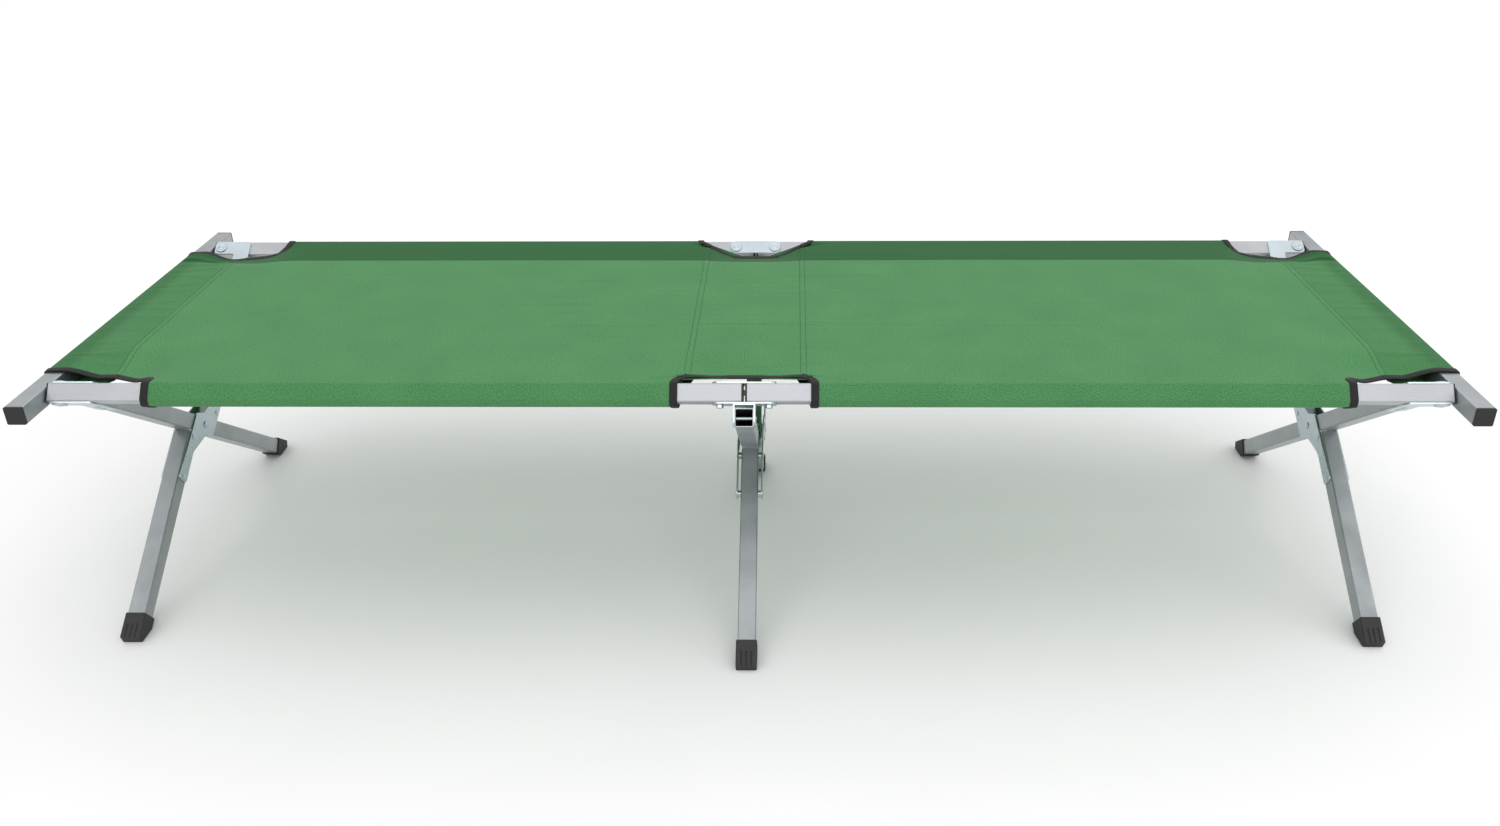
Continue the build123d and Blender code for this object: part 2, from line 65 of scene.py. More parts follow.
# Sizes of the sewn cloth
thickness = 0.9 * MM
lay = tube_half + 1.3 * MM
turn_radius = 3.3 * MM
slack = 4 * MM
under_gap = 1.9 * MM
band_width = 86 * MM
scoop_depth = 26 * MM
middle_flat = 20 * MM
middle_cut = 89 * MM
corner_start = 811 * MM
face_cut = 797 * MM
middle_seam = 78 * MM
stitch_row_gap = 4 * MM
band_row_inset = 3 * MM
band_groove = 0.45 * MM
corner_sag = 15 * MM
front_middle_sag = 8 * MM
rear_middle_sag = 18 * MM
scoop_s = rail_y - scoop_depth
band_line = rail_y - band_width

# How the sleeve hangs round the rail: its gap and bend on the outer face, its bend below, and where
# it comes back to the sheet, measured in from the rail
outer_gap = 0.2 * MM
outer_drop = 10.4 * MM
below_reach = 9 * MM
back_reach = 45 * MM

# The edge past the corners narrows and then widens, and the middle cut-outs lean in underneath
narrowed = 16 * MM
widened = 3 * MM
face_lean = 25 * MM

# Stretches over which the cloth changes: where each starts, and its length
narrowing = (corner_start, 62 * MM)
widening = (895 * MM, 30 * MM)
rail_hold = (scoop_s, 28 * MM)
corner_dip_from = (765 * MM, 65 * MM)
corner_dip_to = (878 * MM, 50 * MM)
corner_dip_across = (150 * MM, 75 * MM)
middle_dip_to = (32 * MM, 60 * MM)
middle_dip_across = (165 * MM, 70 * MM)
open_across = (190 * MM, 60 * MM)
open_along = (800 * MM, 60 * MM)
gather_from = (end_seam + 3 * MM, 14 * MM)
gather_to = (bar_x, 12 * MM)


# ---------------------------------------------------------------------------
# The cloth as a function of (x, s)
# ---------------------------------------------------------------------------
def ramp(value):
    """Rises smoothly from 0 to 1 as value goes from 0 to 1: three times its square less twice its cube."""
    share = np.clip(value, 0, 1)
    return share * share * (3 - 2 * share)


def over(value, stretch):
    """Rises smoothly from 0 to 1 as value crosses a stretch given by its start and length."""
    start, length = stretch
    return ramp((value - start) / length)


def bump(value):
    """1 where value is 0, falling smoothly to 0 where it is 1 either way."""
    return 1 - ramp(np.abs(value))


def rounded_path(corners, radius):
    """Straight runs joined by tangent arcs, and how far along each point lies.

    Where the way turns by t, the arc's centre is radius / cos(t / 2) from the corner, on the line
    that halves it, and the arc's points are the start and end arms mixed by the sines of their turns.
    """
    corners = np.array(corners, float)
    points = [corners[:1]]
    share = np.linspace(0, 1, 7)[:, None]
    for before, corner, after in zip(corners[:-2], corners[1:-1], corners[2:]):
        way_in = (corner - before) / np.linalg.norm(corner - before)
        way_out = (after - corner) / np.linalg.norm(after - corner)
        turn = np.arccos(np.clip(way_in @ way_out, -1, 1))
        inward = (way_out - way_in) / np.linalg.norm(way_out - way_in)
        centre = corner + inward * radius / np.cos(turn / 2)
        start = corner - way_in * radius * np.tan(turn / 2) - centre
        end = corner + way_out * radius * np.tan(turn / 2) - centre
        arc = (np.sin((1 - share) * turn) * start + np.sin(share * turn) * end) / np.sin(turn)
        points.append(centre + arc)
    points.append(corners[-1:])
    points = np.concatenate(points)
    steps = np.linalg.norm(np.diff(points, axis=0), axis=1)
    return points, np.concatenate([[0.0], np.cumsum(steps)])


# Across the bed: over the side rail, loosely round it and back to a seam under the sheet. The two
# ways are the rail's own, square to its faces, and the sheet's plane meets the sleeve's plane on
# the rail's outer face at over_y.
out_way = np.array([cos(leg_slope), sin(leg_slope)])
up_way = np.array([-sin(leg_slope), cos(leg_slope)])
rail_centre = np.array([rail_y, rail_z])
over_y = rail_y + (lay - (cloth_top - rail_z) * sin(leg_slope)) / cos(leg_slope)
side_path, side_length = rounded_path(
    [
        (0, cloth_top),
        (over_y, cloth_top),
        rail_centre + (lay + outer_gap) * out_way - outer_drop * up_way,
        rail_centre + below_reach * out_way - (lay + slack) * up_way,
        rail_centre - lay * out_way - (lay + slack / 2) * up_way,
        rail_centre - lay * (out_way - up_way),
        (rail_y - back_reach, cloth_top - under_gap),
        (rail_y - band_width, cloth_top - under_gap),
    ],
    turn_radius,
)

# Along the bed: over the end bar, round it and back to the end seam under the sheet
end_path, end_length = rounded_path(
    [
        (0, cloth_top),
        (end_seam, cloth_top),
        (bar_x + lay, rail_z + lay),
        (bar_x + lay, rail_z - lay),
        (bar_x - lay, rail_z - lay),
        (end_seam, cloth_top - under_gap),
    ],
    turn_radius,
)

# Creases that run along the bed: middle x, half length, y, half width and height, in millimetres.
# Three are listed one by one, the first of them across the whole middle panel. The fine ones are drawn
# by chance, and lie thickest near the middle.
chance = np.random.default_rng(7)
fine_count = 46
fine_creases = zip(
    chance.normal(90, 270, fine_count), chance.uniform(60, 240, fine_count),
    chance.uniform(-205, 200, fine_count), chance.uniform(5, 9, fine_count),
    chance.uniform(0.25, 0.75, fine_count),
)
CREASES = [(10, 170, -72, 5, 1.3), (-230, 210, -79, 6, 0.7), (330, 300, -76, 7, 0.7), *fine_creases]

# Gathers on the end sleeves, where they are drawn over the bar: y, half width and height, in
# millimetres. Every height is multiplied by gather_scale, and each line leans one way or the other
# by up to gather_lean for every metre from the seam.
GATHERS = [
    (-196, 9, 0.5), (-168, 7, 0.8), (-131, 10, 0.5), (-96, 8, 0.7), (-52, 13, 0.6), (-20, 6, 0.9),
    (14, 9, 0.6), (49, 12, 0.5), (83, 7, 0.8), (112, 10, 0.6), (146, 6, 1.0), (163, 6, 1.1),
    (181, 5, 1.2), (197, 5, 1.1), (211, 5, 0.9),
]
gather_scale = 2.5
gather_lean = 0.12

# The slack of the open bed and its long waves, and how a crease drifts from a straight line
bed_slack = 2.5 * MM
wave_height = 0.7 * MM
wave_pitch = 17 * MM
wave_bend = 1.3
wave_bend_pitch = 310 * MM
wave_reach = 620 * MM
crease_drift = 3 * MM
crease_drift_pitch = 110 * MM

# The trough beside a crease: its share of the ridge, and its distance from it in half widths
trough_share = 0.7
trough_distance = 1.1


def hang(x, y):
    """How far the cloth lies from its flat plane, up being positive.

    It is the sum of the dips at the cut-outs, where no rail holds the edge, a broad slack in the
    middle with long waves on it, and creases and gathers, each a smooth bump across its own line.
    A crease has a trough beside it.
    """
    far_x, far_y = np.abs(x), np.abs(y)
    off_rail = 1 - over(far_y, rail_hold)
    at_corner = over(far_x, corner_dip_from) - over(far_x, corner_dip_to)
    height = -corner_sag * at_corner * over(far_y, corner_dip_across) * off_rail
    at_middle = 1 - over(far_x, middle_dip_to)
    sag = np.where(y > 0, rear_middle_sag, front_middle_sag)
    height -= sag * at_middle * over(far_y, middle_dip_across) * off_rail
    open_bed = (1 - over(far_y, open_across)) * (1 - over(far_x, open_along))
    height -= bed_slack * open_bed * np.cos(np.clip(y / (rail_y * 2), -0.5, 0.5) * pi)
    wave = np.sin(y / wave_pitch + wave_bend * np.sin(x / wave_bend_pitch))
    height += wave_height * open_bed * wave * bump(x / wave_reach)
    for middle_x, half_length, line_y, half_width, rise in CREASES:
        line = line_y * MM + crease_drift * np.sin(x / crease_drift_pitch + line_y)
        across = (y - line) / (half_width * MM)
        ridge = bump(across) - trough_share * bump(across + trough_distance)
        height += rise * MM * ridge * bump((x - middle_x * MM) / (half_length * MM))
    sleeve = over(far_x, gather_from) * (1 - over(far_x, gather_to))
    for line_y, half_width, rise in GATHERS:
        lean = y - line_y * MM + (far_x - end_seam) * gather_lean * np.sin(line_y)
        height += gather_scale * rise * MM * sleeve * bump(lean / (half_width * MM))
    return height


def seam_relief(x, s):
    """Height of the sewn lines.

    A seam is a broad bump with a narrow groove at each row of stitches. The doubled band at the
    rear stands up by a smooth step, with a groove at its own row.
    """
    far_x, far_s = np.abs(x), np.abs(s)
    height = np.zeros(np.broadcast(x, s).shape)
    ridge, groove, band_step = 0.5 * MM, 0.55 * MM, 0.4 * MM
    ridge_reach, groove_reach, step_reach = 7 * MM, 1.8 * MM, 3 * MM
    past_seam, past_scoop = 10 * MM, 20 * MM
    on_sheet = (far_x < end_seam + past_seam) & (far_s < scoop_s + past_scoop)
    for line in (middle_seam, end_seam):
        height += ridge * bump((far_x - line) / ridge_reach)
        for row in (-stitch_row_gap, stitch_row_gap):
            height -= groove * bump((far_x - line - row) / groove_reach)
    height += band_step * ramp((s - band_line) / step_reach)
    height -= band_groove * bump((s - band_line - band_row_inset) / groove_reach)
    return height * on_sheet


def follow(path, length, distance):
    """The path's two coordinates at each distance along it, straight between its points."""
    return np.interp(distance, length, path[:, 0]), np.interp(distance, length, path[:, 1])


def cloth_surface(x, s):
    """Outer surface of the cloth: the end path carries x, the side path carries s, and heights add up."""
    along, end_z = follow(end_path, end_length, np.abs(x))
    across, side_z = follow(side_path, side_length, np.abs(s))
    along = along * np.sign(x)
    across = across * np.sign(s)
    height = end_z + side_z - cloth_top + hang(along, across) + seam_relief(x, s)
    return np.stack([along, across + middle_y, height], axis=-1)


def cloth_normal(x, s):
    """Outward normal: the cross product of the surface's small steps along x and along s."""
    step = 0.4 * MM
    along = cloth_surface(x + step, s) - cloth_surface(x - step, s)
    across = cloth_surface(x, s + step) - cloth_surface(x, s - step)
    normal = np.cross(along, across)
    return normal / np.linalg.norm(normal, axis=-1, keepdims=True)


# Outline of the cut-outs: over_s is the place on the side path nearest to over_y
over_s = side_length[np.argmin(np.abs(side_path[:, 0] - over_y))]
leaning_in = (over_s + 45 * MM, 75 * MM)


def end_edge(x):
    """Half width of the cloth at x past the corner: it narrows smoothly, and widens a little at the bar."""
    along = follow(end_path, end_length, np.abs(x))[0]
    return scoop_s - narrowed * over(along, narrowing) + widened * over(along, widening)


def quarter(s):
    """Goes from 0 at the cut-out's straight edge to 1 over the rail, as a quarter of an ellipse does."""
    share = np.clip((over_s - s) / (over_s - scoop_s), 0, 1)
    return np.sqrt(1 - share**2)


def middle_border(s):
    """x of the middle cut-out's side at s: a quarter ellipse, straight down, then inward underneath."""
    return middle_flat + (middle_cut - middle_flat) * quarter(s) - face_lean * over(s, leaning_in)


def corner_border(s):
    """x of the corner cut-out's side at s: a quarter ellipse, then straight down."""
    return corner_start - (corner_start - face_cut) * quarter(s)


# ---------------------------------------------------------------------------
# Meshes
# ---------------------------------------------------------------------------
def make_mesh(name, points, faces, uv=None, smooth=True):
    """A piece from an array of points and an array of faces, with a UV map from one (u, v) per point."""
    mesh = bpy.data.meshes.new(name)
    faces = np.asarray(faces)
    mesh.from_pydata(points.reshape(-1, 3).tolist(), [], faces.tolist())
    if uv is not None:
        layer = mesh.uv_layers.new(name="cloth_metres")
        layer.data.foreach_set("uv", uv.reshape(-1, 2)[faces.ravel()].astype(np.float32).ravel())
    mesh.polygons.foreach_set("use_smooth", np.full(len(faces), smooth))
    mesh.update()
    piece = bpy.data.objects.new(name, mesh)
    bpy.context.scene.collection.objects.link(piece)
    return piece


def grid_faces(numbers):
    """Four-sided faces between neighbouring rows and columns of a grid of point numbers."""
    return np.stack(
        [numbers[:-1, :-1], numbers[:-1, 1:], numbers[1:, 1:], numbers[1:, :-1]], axis=-1
    ).reshape(-1, 4)


def fine_places(low, high, spacing, centres=(), reach=0, fine=1 * MM):
    """Even places from low to high, with ones fine apart within reach of each centre."""
    places = [np.linspace(low, high, max(2, int(round((high - low) / spacing)) + 1))]
    places += [np.arange(centre - reach, centre + reach + fine / 2, fine) for centre in centres]
    places = np.unique(np.round(np.concatenate(places), 5))
    return places[(places >= low) & (places <= high)]


def bed_columns():
    """Places of the bed grid's columns: closer at the seams and where the cloth turns round the bar."""
    bed_spacing, end_spacing, reach, past_seam = 16 * MM, 10 * MM, 8 * MM, 5 * MM
    inner = np.linspace(0, middle_flat, 3)[:-1]
    bed = fine_places(middle_flat, corner_start, bed_spacing, [middle_seam, end_seam], reach)
    past = fine_places(corner_start, end_length[-1], end_spacing, [end_seam], reach)
    turns = end_length[(end_length > end_seam + past_seam) & (end_length < end_length[-1])]
    half = np.unique(np.concatenate([inner, bed, past, np.round(turns, 5)]))
    return np.concatenate([-half[:0:-1], half])


def bed_rows():
    """Places of the bed grid's rows: closer at the band's seam and at the long crease."""
    spacing, reach = 4 * MM, 5 * MM
    band_step_middle = band_line + 2 * MM
    rows = fine_places(0, scoop_s, spacing, [band_step_middle], reach)
    long_crease = np.arange(-80, -62, 2) * MM
    return np.unique(np.concatenate([-rows, rows, long_crease]))


def sleeve_rows():
    """Distances round the rail of a sleeve grid's rows: even, and at every point of the side path."""
    spacing = 9 * MM
    even = fine_places(scoop_s, side_length[-1], spacing)
    return np.unique(np.round(np.concatenate([even, side_length[side_length > scoop_s]]), 5))[1:]


def bed_grid(columns, rows):
    """Flat places of the bed: lines of constant s up to fixed_s, and past it they spread to the edge."""
    fixed_s = 210 * MM
    edge = np.where(np.abs(columns) > corner_start, end_edge(columns), scoop_s)
    past_fixed = np.clip((np.abs(rows) - fixed_s) / (scoop_s - fixed_s), 0, 1)[:, None]
    spread = np.sign(rows)[:, None] * (fixed_s + past_fixed * (edge - fixed_s)[None, :])
    s = np.where(past_fixed > 0, spread, rows[:, None])
    return np.broadcast_to(columns, s.shape), s


def sleeve_grid(columns, hand, side):
    """Flat places of one sleeve: columns slide from the bed's places to the borders, in proportion."""
    share = (np.abs(columns) - middle_flat) / (corner_start - middle_flat)
    across = sleeve_rows()[:, None]
    inner, outer = middle_border(across), corner_border(across)
    x = hand * (inner + (outer - inner) * share[None, :])
    return x, np.broadcast_to(side * across, x.shape)


def band_tone_and_painted_shade(x, s):
    """How much the cloth is darkened: 1 on the rear band, and painted shade on the end sleeves, most of it
    over the bar.
    """
    band_step, sleeve_step, bar_step, before_bar = 3 * MM, 4 * MM, 5 * MM, 8 * MM
    sleeve_shade, bar_shade = 0.25, 0.4
    band = ramp((np.abs(s) - band_line) / band_step) * (s > 0)
    sleeve = ramp((np.abs(x) - end_seam) / sleeve_step)
    shade_over_bar = ramp((np.abs(x) - bar_x + tube_half + before_bar) / bar_step)
    return np.maximum(band, sleeve_shade * sleeve + bar_shade * shade_over_bar)


def flat_area(flat, faces):
    """Area of four-sided faces on the flat cloth: half the cross product of each one's diagonals."""
    corner = flat[faces]
    first, second = corner[:, 2] - corner[:, 0], corner[:, 3] - corner[:, 1]
    return float(np.abs(first[:, 0] * second[:, 1] - first[:, 1] * second[:, 0]).sum() / 2)


def build_cloth():
    """The whole sewn cloth: a bed grid, and four sleeve grids that share its edge points."""
    columns, rows = bed_columns(), bed_rows()
    x, s = bed_grid(columns, rows)
    numbers = np.arange(s.size).reshape(s.shape)
    flats = [np.stack([x, s], axis=-1).reshape(-1, 2)]
    faces = [grid_faces(numbers)]
    count = s.size
    slip = 1e-6
    for side in (-1, 1):
        edge_row = numbers[-1 if side > 0 else 0]
        for hand in (-1, 1):
            outward = columns * hand
            chosen = np.flatnonzero((outward >= middle_flat - slip) & (outward <= corner_start + slip))
            x, s = sleeve_grid(columns[chosen], hand, side)
            flats.append(np.stack([x, s], axis=-1).reshape(-1, 2))
            joined = np.vstack([edge_row[chosen], count + np.arange(x.size).reshape(x.shape)])
            faces.append(grid_faces(joined if side > 0 else joined[::-1]))
            count += x.size
    flat = np.concatenate(flats)
    faces = np.concatenate(faces)
    cloth = make_mesh("bed_cloth", cloth_surface(flat[:, 0], flat[:, 1]), faces, uv=flat)
    # How much each point is darkened: the rear band, plus painted shade on the end sleeves and over the bar
    layer = cloth.data.attributes.new("band_and_painted_shade", "FLOAT", "POINT")
    layer.data.foreach_set("value", band_tone_and_painted_shade(flat[:, 0], flat[:, 1]).astype(np.float32))
    shell = cloth.modifiers.new("thickness", "SOLIDIFY")
    shell.thickness = thickness
    shell.offset = -1
    shell.use_rim = True
    return cloth, flat_area(flat, faces)


def sewn_line(x, s, step):
    """The (x, s) places of a line on the cloth, spaced evenly by step along the surface."""
    x, s = np.asarray(x, float), np.asarray(s, float)
    points = cloth_surface(x, s)
    run = np.concatenate([[0.0], np.cumsum(np.linalg.norm(np.diff(points, axis=0), axis=1))])
    places = np.linspace(0, run[-1], max(2, int(run[-1] / step)))
    return np.interp(places, run, x), np.interp(places, run, s), places


def binding(name, x, s, probe):
    """Ribbed tape folded over the cloth's edge along (x, s).

    The probe picks a place on the bed's own edge, which tells the outward side from the inward.
    Its section is a flattened superellipse in the two directions square to the edge: out of the
    cloth, and along the cloth's normal. The thickness swells by a cosine for each rib.
    """
    step, outward_nudge = 0.6 * MM, 1.002
    tape_width, tape_half, rib = 10.5 * MM, 1.2 * MM, 2.4 * MM
    inset, lifted, swelling, closing = 4.0 * MM, 0.1 * MM, 0.16, 1.5 * MM
    ring_count, square_out, square_up = 14, 0.4, 0.7
    x, s, run = sewn_line(x, s, step)
    points = cloth_surface(x, s)
    normal = cloth_normal(x, s)
    way = np.gradient(points, axis=0)
    out = np.cross(normal, way)
    out /= np.linalg.norm(out, axis=1, keepdims=True)
    at = probe(x, s)
    outward = cloth_surface(x[at], s[at] * outward_nudge) - cloth_surface(x[at], s[at])
    if out[at] @ outward < 0:
        out = -out
    around = np.linspace(0, 2 * pi, ring_count, endpoint=False)
    reach = np.sign(np.cos(around)) * np.abs(np.cos(around)) ** square_out * tape_width / 2 - inset
    lift = np.sign(np.sin(around)) * np.abs(np.sin(around)) ** square_up
    swell = tape_half * (1 + swelling * np.cos(2 * pi * run / rib))
    taper = np.clip(np.minimum(run, run[-1] - run) / closing, 0.05, 1)
    ring = (
        points[:, None, :]
        + out[:, None, :] * reach[None, :, None]
        + normal[:, None, :] * (lift[None, :, None] * (swell * taper)[:, None, None] + lifted)
    )
    numbers = np.arange(len(x) * len(around)).reshape(len(x), len(around))
    numbers = np.hstack([numbers, numbers[:, :1]])
    faces = grid_faces(numbers)
    section = (out[at][:, None] * np.cos(around) + normal[at][:, None] * np.sin(around)).T
    turning = np.cross(section[0], section[3]) @ way[at]
    if turning < 0:
        faces = faces[:, ::-1]
    flat = np.stack(np.broadcast_arrays(run[:, None], around * MM), axis=-1)
    return make_mesh(name, ring, faces, uv=flat)


def corner_binding(name, hand, side):
    """Tape of a corner: round the end bar's loop, along the cut-out and down round the rail."""
    loop_x = np.arange(end_length[-1] - 1 * MM, corner_start, -1 * MM)
    rail_s = np.arange(scoop_s, side_length[-1] - 1 * MM, 1 * MM)
    x = np.concatenate([loop_x, corner_border(rail_s)]) * hand
    s = np.concatenate([end_edge(loop_x), rail_s]) * side
    probe_x = corner_start + 20 * MM
    return binding(name, x, s, lambda x, s: int(np.argmin(np.abs(np.abs(x) - probe_x))))


def middle_binding(name, side):
    """Tape of a middle cut-out: up one sleeve's end, across the sheet's edge and down the other."""
    rail_s = np.arange(side_length[-1] - 1 * MM, scoop_s, -1 * MM)
    flat_x = np.linspace(-middle_flat, middle_flat, 21)
    x = np.concatenate([-middle_border(rail_s), flat_x, middle_border(rail_s[::-1])])
    s = np.concatenate([rail_s, np.full(flat_x.size, scoop_s), rail_s[::-1]]) * side
    return binding(name, x, s, lambda x, s: int(np.argmin(np.abs(x))))


def build_stitches():
    """All stitches as one piece.

    Each is a low roof, with a base of four corners sunk a little into the cloth and a ridge of two.
    """
    pitch, length, half_width, rise = 4.2 * MM, 3.1 * MM, 0.55 * MM, 0.45 * MM
    ridge_from, ridge_to, sunk = 0.2, 0.8, -0.1
    middle_reach, end_reach, band_reach = scoop_s - 6 * MM, 216 * MM, end_seam - 12 * MM
    band_row = band_line + band_row_inset
    lines = [((-band_reach, band_row), (band_reach, band_row))]
    for seam, reach in ((middle_seam, middle_reach), (end_seam, end_reach)):
        for hand in (-1, 1):
            for row in (-stitch_row_gap, stitch_row_gap):
                place = hand * seam + row
                lines.append(((place, -reach), (place, reach)))
    points, faces, count = [], [], 0
    for start, end in lines:
        start, end = np.array(start), np.array(end)
        way = (end - start) / np.linalg.norm(end - start)
        square = np.array([-way[1], way[0]])
        places = np.arange(0, np.linalg.norm(end - start) - length, pitch)
        base = start + way * places[:, None]
        offsets = np.array([
            way * 0 - square * half_width, way * length - square * half_width,
            way * length + square * half_width, way * 0 + square * half_width,
            way * length * ridge_from, way * length * ridge_to,
        ])
        flat = base[:, None, :] + offsets[None, :, :]
        x, s = flat[..., 0], flat[..., 1]
        height = np.array([sunk, sunk, sunk, sunk, 1, 1]) * rise
        shaped = cloth_surface(x, s) + cloth_normal(x, s) * height[None, :, None]
        first = count + 6 * np.arange(len(base))[:, None, None]
        roof = np.array([
            [0, 1, 5], [0, 5, 4], [1, 2, 5], [2, 3, 4], [2, 4, 5], [3, 0, 4], [0, 3, 2], [0, 2, 1],
        ])
        faces.append((first + roof[None]).reshape(-1, 3))
        points.append(shaped.reshape(-1, 3))
        count += 6 * len(base)
    return make_mesh("seam_stitches", np.concatenate(points), np.concatenate(faces), smooth=False)


# ---------------------------------------------------------------------------
# Materials
# ---------------------------------------------------------------------------
def linear(hex_colour):
    """An sRGB hex value as linear red, green, blue and alpha."""
    parts = np.array([int(hex_colour[place:place + 2], 16) for place in (1, 3, 5)]) / 255
    parts = np.where(parts <= 0.04045, parts / 12.92, ((parts + 0.055) / 1.055) ** 2.4)
    return (*parts.tolist(), 1.0)


def add_node(tree, kind, inputs=None, **settings):
    """Adds a node, sets its properties, and gives its sockets values or links."""
    made = tree.nodes.new(kind)
    for name, value in settings.items():
        setattr(made, name, value)
    for socket, value in (inputs or {}).items():
        if isinstance(value, bpy.types.NodeSocket):
            tree.links.new(value, made.inputs[socket])
        else:
            made.inputs[socket].default_value = value
    return made


def start_material(name, **sockets):
    """A named material with its shader's plain values set; returns it, its tree and its shader."""
    material = bpy.data.materials.new(name)
    material.use_nodes = True
    tree = material.node_tree
    shader = tree.nodes["Principled BSDF"]
    for socket, value in sockets.items():
        shader.inputs[socket.replace("_", " ")].default_value = value
    return material, tree, shader


def grained_material(name, dark, light, grain_mm, rough, bump_mm, stretch=(1, 1, 1), **sockets):
    """A finish whose height follows a fine grain, and whose colour and roughness follow wear as well."""
    wear_mm = 45
    material, tree, shader = start_material(name, **sockets)
    place = add_node(tree, "ShaderNodeTexCoord")
    turned = add_node(tree, "ShaderNodeMapping", {"Vector": place.outputs["Object"], "Scale": stretch})
    grain = add_node(tree, "ShaderNodeTexNoise", {
        "Vector": turned.outputs["Vector"], "Scale": 1 / (grain_mm * MM), "Detail": 3.0, "Roughness": 0.6,
    })
    wear = add_node(tree, "ShaderNodeTexNoise", {
        "Vector": place.outputs["Object"], "Scale": 1 / (wear_mm * MM), "Detail": 2.0,
    })
    both = add_node(tree, "ShaderNodeMath", {
        0: grain.outputs["Fac"], 1: wear.outputs["Fac"],
    }, operation="ADD")
    share = add_node(tree, "ShaderNodeMapRange", {
        "Value": both.outputs[0], "From Min": 0.7, "From Max": 1.3, "To Min": 0.0, "To Max": 1.0,
    })
    colour = add_node(tree, "ShaderNodeMix", {
        0: share.outputs[0], 6: linear(dark), 7: linear(light),
    }, data_type="RGBA")
    sheen = add_node(tree, "ShaderNodeMapRange", {
        "Value": share.outputs[0], "To Min": rough - 0.05, "To Max": rough + 0.06,
    })
    relief = add_node(tree, "ShaderNodeBump", {
        "Height": grain.outputs["Fac"], "Strength": 0.6, "Distance": bump_mm * MM,
    })
    tree.links.new(colour.outputs[2], shader.inputs["Base Color"])
    tree.links.new(sheen.outputs[0], shader.inputs["Roughness"])
    tree.links.new(relief.outputs[0], shader.inputs["Normal"])
    return material


def woven_polyester():
    """Dyed polyester canvas: dull and finely flecked, with a plain weave.

    The weave is drawn at 1.3 mm, coarser than real threads, so that it shows. A point attribute darkens
    the rear band, and paints shade on the end sleeves, most of all where they turn over the bar.
    """
    material, tree, shader = start_material(
        "woven_polyester", Sheen_Weight=0.05, Sheen_Roughness=0.5, Specular_IOR_Level=0.3,
    )
    pitch = 1.3 * MM
    wave_scale = 2 * pi / (20 * pitch)
    place = add_node(tree, "ShaderNodeUVMap", uv_map="cloth_metres")
    warp = add_node(tree, "ShaderNodeTexWave", {
        "Vector": place.outputs[0], "Scale": wave_scale, "Distortion": 0.6, "Detail Scale": 2.0,
    }, bands_direction="X")
    weft = add_node(tree, "ShaderNodeTexWave", {
        "Vector": place.outputs[0], "Scale": wave_scale, "Distortion": 0.6, "Detail Scale": 2.0,
    }, bands_direction="Y")
    weave = add_node(tree, "ShaderNodeMath", {
        0: warp.outputs["Fac"], 1: weft.outputs["Fac"],
    }, operation="MULTIPLY")
    fleck = add_node(tree, "ShaderNodeTexNoise", {
        "Vector": place.outputs[0], "Scale": 1 / (1.8 * MM), "Detail": 4.0, "Roughness": 0.7,
    })
    slub = add_node(tree, "ShaderNodeTexNoise", {
        "Vector": place.outputs[0], "Scale": 1 / (90 * MM), "Detail": 2.0,
    })
    mixed = add_node(tree, "ShaderNodeMath", {0: slub.outputs["Fac"], 1: 0.1}, operation="MULTIPLY")
    summed = add_node(tree, "ShaderNodeMath", {
        0: fleck.outputs["Fac"], 1: mixed.outputs[0],
    }, operation="ADD")
    share = add_node(tree, "ShaderNodeMapRange", {
        "Value": summed.outputs[0], "From Min": 0.39, "From Max": 0.71,
    })
    tone = add_node(tree, "ShaderNodeMix", {
        0: share.outputs[0], 6: linear("#2f6a3b"), 7: linear("#5c9862"),
    }, data_type="RGBA")
    # Painted shade: the end sleeves and the cloth over the bar are mixed toward a dark green, as is the
    # rear band
    shade_attribute = add_node(tree, "ShaderNodeAttribute", attribute_name="band_and_painted_shade")
    darkening = add_node(tree, "ShaderNodeMath", {0: shade_attribute.outputs["Fac"], 1: 0.9}, operation="MULTIPLY")
    colour = add_node(tree, "ShaderNodeMix", {
        0: darkening.outputs[0], 6: tone.outputs[2], 7: linear("#1b5627"),
    }, data_type="RGBA")
    relief = add_node(tree, "ShaderNodeBump", {
        "Height": weave.outputs[0], "Strength": 0.5, "Distance": 0.12 * MM,
    })
    rough = add_node(tree, "ShaderNodeMapRange", {
        "Value": weave.outputs[0], "To Min": 0.92, "To Max": 0.80,
    })
    tree.links.new(colour.outputs[2], shader.inputs["Base Color"])
    tree.links.new(rough.outputs[0], shader.inputs["Roughness"])
    tree.links.new(relief.outputs[0], shader.inputs["Normal"])
    return material


def grosgrain():
    """Black polyester tape: its ribs are in the mesh, and fine threads run across them."""
    material, tree, shader = start_material(
        "black_grosgrain", Sheen_Weight=0.08, Sheen_Roughness=0.4, IOR=1.5,
    )
    place = add_node(tree, "ShaderNodeTexCoord")
    thread = add_node(tree, "ShaderNodeTexNoise", {
        "Vector": place.outputs["Object"], "Scale": 1 / (1.1 * MM), "Detail": 2.0,
    })
    colour = add_node(tree, "ShaderNodeMix", {
        0: thread.outputs["Fac"], 6: linear("#050505"), 7: linear("#181617"),
    }, data_type="RGBA")
    relief = add_node(tree, "ShaderNodeBump", {
        "Height": thread.outputs["Fac"], "Strength": 0.5, "Distance": 0.15 * MM,
    })
    rough = add_node(tree, "ShaderNodeMapRange", {
        "Value": thread.outputs["Fac"], "To Min": 0.62, "To Max": 0.85,
    })
    tree.links.new(colour.outputs[2], shader.inputs["Base Color"])
    tree.links.new(rough.outputs[0], shader.inputs["Roughness"])
    tree.links.new(relief.outputs[0], shader.inputs["Normal"])
    return material


# Silver powder coat on the leg and bar tubes: a soft metallic grey with a fine orange-peel skin
tube_coat = grained_material(
    "silver_powder_coat", "#959a9d", "#adb1b4", 1.2, 0.36, 0.03, Metallic=0.82,
)
